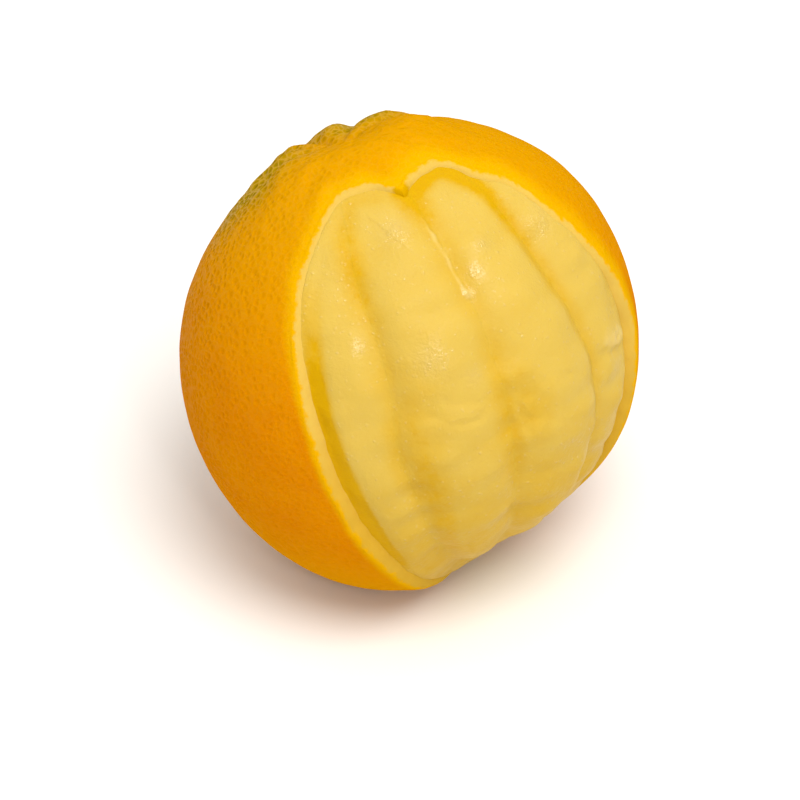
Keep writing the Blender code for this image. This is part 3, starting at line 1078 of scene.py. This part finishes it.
skin_colour = RIND_DARK_ORANGE
for share, layer in (
    (mottle, RIND_ORANGE), (noted["painted_light_share"], RIND_PAINTED_LIGHT), (yellow, RIND_YELLOW), (green, RIND_OLIVE),
    (pit_shade, RIND_PIT_SHADE), (olive, RIND_DARK_OLIVE), (ridge_highlights, RIND_NET_HIGHLIGHT),
):
    skin_colour = add("Mix", {SHARE: share, FIRST: skin_colour, SECOND: layer}, **MIX)

# %% Mix the colours of the pith
PITH_PALE = colour("#C49826")
PITH_PAINTED_LIGHT = colour("#CCA84A")
PITH_DEEP_AND_SHADE = colour("#C19100")
PITH_PAINTED_LIGHT_RISE = {START: 25 * MM, END: 50 * MM}
PITH_PATCHES = 0.4
PITH_RAGGEDNESS = 0.8
PITH_DEEP_AND_SHADE_RISE = {START: 0.85, END: 1.3}

# The pith is painted lighter upwards, as painted light, with random patches over it
upwards = add("SeparateXYZ", {"Vector": spot}, "Z")
painted_light_and_patches = add("MapRange", {"Value": upwards, **PITH_PAINTED_LIGHT_RISE}, **SMOOTH)
painted_light_and_patches = add("Math", {IN: patches, BY: PITH_PATCHES, THEN_ADD: painted_light_and_patches}, **TIMES_PLUS)
# Deep yellow and painted shade, where the flesh's lines and the notch reach the cut face
deep = add("Math", {IN: ragged, BY: PITH_RAGGEDNESS, THEN_ADD: noted["deep_and_shade_share"]}, **TIMES_PLUS)
deep = add("MapRange", {"Value": deep, **PITH_DEEP_AND_SHADE_RISE}, **SMOOTH)
pith_colour = PITH_PALE
for share, layer in ((painted_light_and_patches, PITH_PAINTED_LIGHT), (deep, PITH_DEEP_AND_SHADE)):
    pith_colour = add("Mix", {SHARE: share, FIRST: pith_colour, SECOND: layer}, **MIX)

# %% Join rind and pith in one finish, with their relief
RIND_RAGGEDNESS = 1.7
PITH_FADE = {START: 0.58, END: 1.1, **FADING}
RELIEF_RISE = {START: 1.2, END: 3.9, AT_START: 0.15, AT_END: 1.0}
PIT_SLOPE = {START: 0.05, END: 0.6}
PIT_DEPTH_ON_PITTED = 0.8
PIT_DEPTH_ANYWHERE = 0.18
CRUMB_HEIGHT = 0.35
RIND_BUMP = 0.3 * MM
RIND_ROUGHNESS = {START: 0.3, END: 0.7, AT_START: 0.30, AT_END: 0.45}
NET_COAT = 0.7

edge_mm = add("Math", {IN: ragged, BY: RIND_RAGGEDNESS, THEN_ADD: noted["edge_mm"]}, **TIMES_PLUS)
on_pith = add("MapRange", {"Value": edge_mm, **PITH_FADE}, **SMOOTH)
on_rind = add("MapRange", {"Value": edge_mm, **RELIEF_RISE}, **SMOOTH)
slope = add("MapRange", {"Value": gland_middle, **PIT_SLOPE}, **SMOOTH)
skin_height = add("Math", {IN: pitted, BY: PIT_DEPTH_ON_PITTED, THEN_ADD: PIT_DEPTH_ANYWHERE}, **TIMES_PLUS)
for share in (on_rind, slope):
    skin_height = add("Math", {IN: skin_height, BY: share}, **TIMES)
height = add("Math", {IN: ragged, BY: CRUMB_HEIGHT, THEN_ADD: skin_height}, **TIMES_PLUS)
bump = add("Bump", {"Height": height, "Strength": 1.0, "Distance": RIND_BUMP})
set_inputs(shader, {
    "Base Color": add("Mix", {SHARE: on_pith, FIRST: skin_colour, SECOND: pith_colour}, **MIX),
    "Roughness": add("MapRange", {"Value": freckles, **RIND_ROUGHNESS}, **SMOOTH),
    "Normal": bump,
    "Coat Weight": add("Math", {IN: ridge_highlights, BY: NET_COAT}, **TIMES),
    "Coat Roughness": 0.25,
    "Coat Normal": bump,
    "Specular IOR Level": 0.0,
    "Subsurface Weight": 0.12,
    "Subsurface Radius": (1.0, 0.6, 0.2),
    "Subsurface Scale": 0.5 * MM,
})
peel.data.materials.clear()
peel.data.materials.append(rind)
print("pith: crumbs every", PITH_CRUMB_PITCH, "mm")

# %% [markdown]
# ### Segment membrane
# A peeled segment is juice behind a thin, moist membrane with pith clinging to it. It is pale on the
# backs and deep yellow in the valleys, partly its own colour and partly painted shade, which also darkens
# a flank and the lower flesh, and light goes a little way into it. Tiny bumps and threads break its soft
# gloss, and where juice has wetted it, a clear coat gives small glints.

# %% Choose the membrane's colours and scales
FLESH_PALE = colour("#C8A84A")
FLESH_WARM_AND_SHADE = colour("#C6A034")
FLESH_DEEP_AND_SHADE = colour("#C49600")
FLESH_THREAD = colour("#D1B464")

# The pitch of each pattern in mm
FLESH_RAGGED_PITCH = 1.3
CLOUD_PITCH = 5.0
BUBBLE_PITCH = 0.9
GRAIN_PITCH = 0.7

# Where each feature starts and ends on the pattern or share that it follows
WARM_AND_SHADE_RISE = {START: 0.3, END: 0.95}
DEEP_AND_SHADE_RISE = {START: 0.75, END: 1.3}
THREAD_RISE = {START: 0.03, END: 0.25, AT_START: 0.0, AT_END: 0.7}
BUBBLE_DOT = {START: 0.05, END: 0.35, **FADING}
BUBBLE_GROUPS = {START: 0.4, END: 0.6}
FLESH_ROUGHNESS = {START: 0.3, END: 0.7, AT_START: 0.32, AT_END: 0.46}

# How much each pattern counts in a feature
WARM_AND_SHADE_CLOUDS = 0.7
DEEP_AND_SHADE_RAGGEDNESS = 0.7
BUBBLE_PALENESS = 0.4
BUBBLE_HEIGHT = 0.5
BUBBLE_COAT = 0.5
WET_GRAIN = 1.2
FLESH_BUMP = 0.11 * MM

# %% Make the membrane's finish
membrane, shader, add = new_finish("mandarin_segment_membrane")
noted = {
    name: add("Attribute", {}, "Fac", attribute_name=name)
    for name in ("deep_and_shade_share", "thread_mm", "wet_share")
}
spot = add("TexCoord", {}, "Object")
ragged, grain = [
    add("TexNoise", {"Vector": spot, "Scale": per_metre(pitch), "Detail": 3.0, "Roughness": 0.6})
    for pitch in (FLESH_RAGGED_PITCH, GRAIN_PITCH)
]
clouds = add("TexNoise", {"Vector": spot, "Scale": per_metre(CLOUD_PITCH), "Detail": 3.0})
# Warm: random clouds, and painted shade round the valleys and the other deep lines
warm_and_shade = add("Math", {IN: clouds, BY: WARM_AND_SHADE_CLOUDS, THEN_ADD: noted["deep_and_shade_share"]}, **TIMES_PLUS)
warm_and_shade = add("MapRange", {"Value": warm_and_shade, **WARM_AND_SHADE_RISE}, **SMOOTH)
# Deep yellow and painted shade, from the flesh's lines
deep = add("Math", {IN: ragged, BY: DEEP_AND_SHADE_RAGGEDNESS, THEN_ADD: noted["deep_and_shade_share"]}, **TIMES_PLUS)
deep = add("MapRange", {"Value": deep, **DEEP_AND_SHADE_RISE}, **SMOOTH)
thread = add("MapRange", {"Value": noted["thread_mm"], **THREAD_RISE}, **SMOOTH)

# Bubbles come in groups, and not where the colour is deep
bubbles = add("TexVoronoi", {"Vector": spot, "Scale": per_metre(BUBBLE_PITCH)}, "Distance")
bubbles = add("MapRange", {"Value": bubbles, **BUBBLE_DOT}, **SMOOTH)
groups = add("MapRange", {"Value": ragged, **BUBBLE_GROUPS}, **SMOOTH)
groups = add("Math", {IN: groups, BY: deep}, **MINUS)
bubbles = add("Math", {IN: bubbles, BY: groups}, **TIMES)
specks = add("Math", {IN: bubbles, BY: BUBBLE_PALENESS, THEN_ADD: thread}, **TIMES_PLUS)

flesh_colour = FLESH_PALE
for share, layer in ((warm_and_shade, FLESH_WARM_AND_SHADE), (deep, FLESH_DEEP_AND_SHADE), (specks, FLESH_THREAD)):
    flesh_colour = add("Mix", {SHARE: share, FIRST: flesh_colour, SECOND: layer}, **MIX)

wet = add("Math", {IN: noted["wet_share"], BY: 1.0}, **AT_MOST)
rougher = add("Math", {IN: wet, BY: WET_GRAIN, THEN_ADD: 1.0}, **TIMES_PLUS)
grain = add("Math", {IN: grain, BY: rougher}, **TIMES)
height = add("Math", {IN: bubbles, BY: BUBBLE_HEIGHT, THEN_ADD: grain}, **TIMES_PLUS)
bump = add("Bump", {"Height": height, "Strength": 1.0, "Distance": FLESH_BUMP})
set_inputs(shader, {
    "Base Color": flesh_colour,
    "Roughness": add("MapRange", {"Value": clouds, **FLESH_ROUGHNESS}, **SMOOTH),
    "Normal": bump,
    "Coat Weight": add("Math", {IN: bubbles, BY: BUBBLE_COAT, THEN_ADD: wet}, **TIMES_PLUS),
    "Coat Roughness": 0.1,
    "Coat Normal": bump,
    "Specular IOR Level": 0.05,
    "Subsurface Weight": 0.25,
    "Subsurface Radius": (1.0, 0.8, 0.3),
    "Subsurface Scale": 0.5 * MM,
})
for segment in segments.values():
    segment.data.materials.clear()
    segment.data.materials.append(membrane)
print("membrane on", len(segments), "segments")

# %% [markdown]
# Smooth shading runs over the soft forms and stops at real edges, such as the one between a segment's
# back and its wall.

# %% Smooth the shading
SMOOTH_ANGLE = radians(40)
for piece in [peel, *segments.values()]:
    work_on(piece)
    bpy.ops.object.shade_smooth_by_angle(angle=SMOOTH_ANGLE)

# %% [markdown]
# ## What each piece stands for
# Each fine piece rides on the fruit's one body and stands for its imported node.

# %% Tie the pieces to the frame
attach(peel, "root")
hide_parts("peel")
for number, segment in segments.items():
    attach(segment, "root")
    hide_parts(f"segment_{number:02d}")

# %% [markdown]
# ## Floor, light and camera
# The fruit lies on a plain white surface. The room is bright overhead and dim at the horizon, so the
# fruit darkens downwards. A wide lamp above, to the right and in front, gives the soft shadow, and a
# small one lower in front gives the glints. The camera looks down by 38 degrees from half a metre.

# %% Set the floor
FLOOR_SIZE = 12.0
FLOOR_DROP = 0.02 * MM
CARD_CREAM = colour("#EFECE6")
CARD_WHITE = colour("#F1EEE8")
CARD_FIBRE_PITCH = 40.0
deselect_all()
bpy.ops.mesh.primitive_plane_add(size=FLOOR_SIZE, location=(0, 0, -FLOOR_DROP))
floor = bpy.context.active_object
floor.name = "floor"
floor_finish, shader, add = new_finish("white_card")
spot = add("TexCoord", {}, "Object")
fibres = add("TexNoise", {"Vector": spot, "Scale": per_metre(CARD_FIBRE_PITCH)})
shade = add("Mix", {SHARE: fibres, FIRST: CARD_CREAM, SECOND: CARD_WHITE}, **MIX)
set_inputs(shader, {"Base Color": shade, "Roughness": 0.9, "Specular IOR Level": 0.1})
floor.data.materials.append(floor_finish)

# %% Set the lights
OVERHEAD_LIGHT = 1.3
HORIZON_LIGHT = 0.15
# Each lamp: its name, place and size in metres, and power in watts
LAMPS = (
    ("soft_lamp", (0.15, -0.30, 0.70), 0.45, 4.1),
    ("front_lamp", (0.11, -0.45, 0.37), 0.05, 0.26),
)

world = bpy.data.worlds.new("white_room")
world.use_nodes = True
add = partial(add_node, world.node_tree)
upwards = add("SeparateXYZ", {"Vector": add("TexCoord", {}, "Generated")}, "Z")
strength = add("MapRange", {"Value": upwards, AT_START: HORIZON_LIGHT, AT_END: OVERHEAD_LIGHT})
set_inputs(world.node_tree.nodes["Background"], {"Color": (1, 1, 1, 1), "Strength": strength})
bpy.context.scene.world = world
for name, lamp_place, size, power in LAMPS:
    deselect_all()
    bpy.ops.object.light_add(type="AREA", location=lamp_place)
    lamp = bpy.context.active_object
    lamp.name = name
    lamp.data.shape = "DISK"
    lamp.data.size = size
    lamp.data.energy = power
    lamp.rotation_euler = (Vector(FRUIT_CENTRE) - Vector(lamp_place)).to_track_quat("-Z", "Y").to_euler()
print("lamps:", [name for name, *rest in LAMPS])

# %% Set the camera
CAMERA_DISTANCE = 0.5
CAMERA_TILT = radians(52)
SENSOR_WIDTH = 36.0
FRAME_WIDTH = 800
FOCAL_PIXELS = 3483
# How far, in pixels, the fruit's centre lies right of and above the middle of the frame
CENTRE_SHIFT = (7.1, 53.4)
deselect_all()
bpy.ops.object.camera_add(
    location=FRUIT_CENTRE + LOOKED_AT_FROM * CAMERA_DISTANCE, rotation=(CAMERA_TILT, 0, 0)
)
camera = bpy.context.active_object
camera.data.sensor_width = SENSOR_WIDTH
camera.data.lens = FOCAL_PIXELS / FRAME_WIDTH * SENSOR_WIDTH
camera.data.shift_x = -CENTRE_SHIFT[0] / FRAME_WIDTH
camera.data.shift_y = -CENTRE_SHIFT[1] / FRAME_WIDTH
bpy.context.scene.camera = camera
bpy.context.scene.view_settings.view_transform = "Standard"
